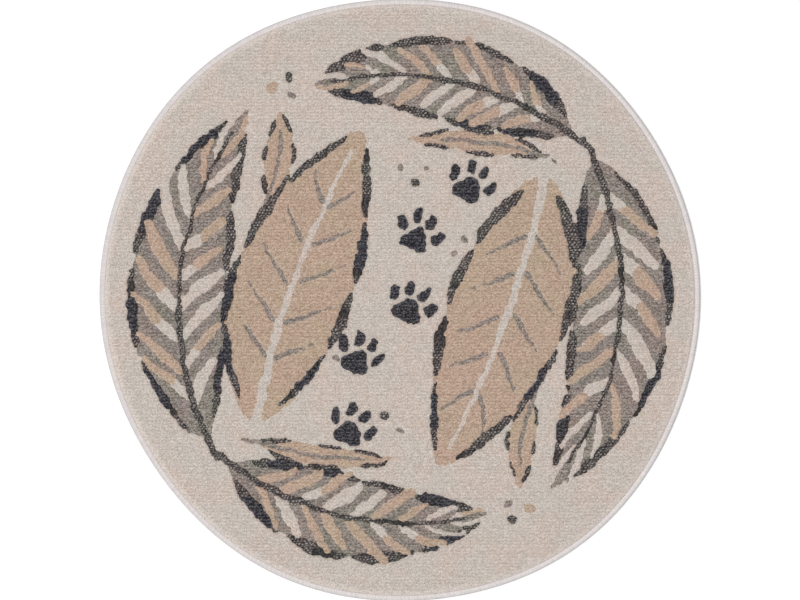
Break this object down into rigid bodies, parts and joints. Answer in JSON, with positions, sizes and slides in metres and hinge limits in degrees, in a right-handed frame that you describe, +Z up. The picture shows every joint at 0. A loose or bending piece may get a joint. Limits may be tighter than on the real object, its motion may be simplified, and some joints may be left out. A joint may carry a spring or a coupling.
{
  "type": "round woven pile rug for a child's room",
  "caption": "Round flat pile rug with carved leaf hollows in its pile and a yarn-bound edge, for a child's room floor.",
  "frame": {"origin": "middle of the flat underside, on the floor", "axes": "+Z up out of the pile; +Y towards the top of the design"},
  "size_m": [1.1956, 1.1981, 0.0097],
  "materials": {
    "pile": "cut polypropylene pile in cream, tan, greige and charcoal",
    "binding": "pale overlocking yarn"
  },
  "bodies": {
    "root": {"rug_carpet": "pile", "edge_binding": "binding"}
  },
  "joints": []
}
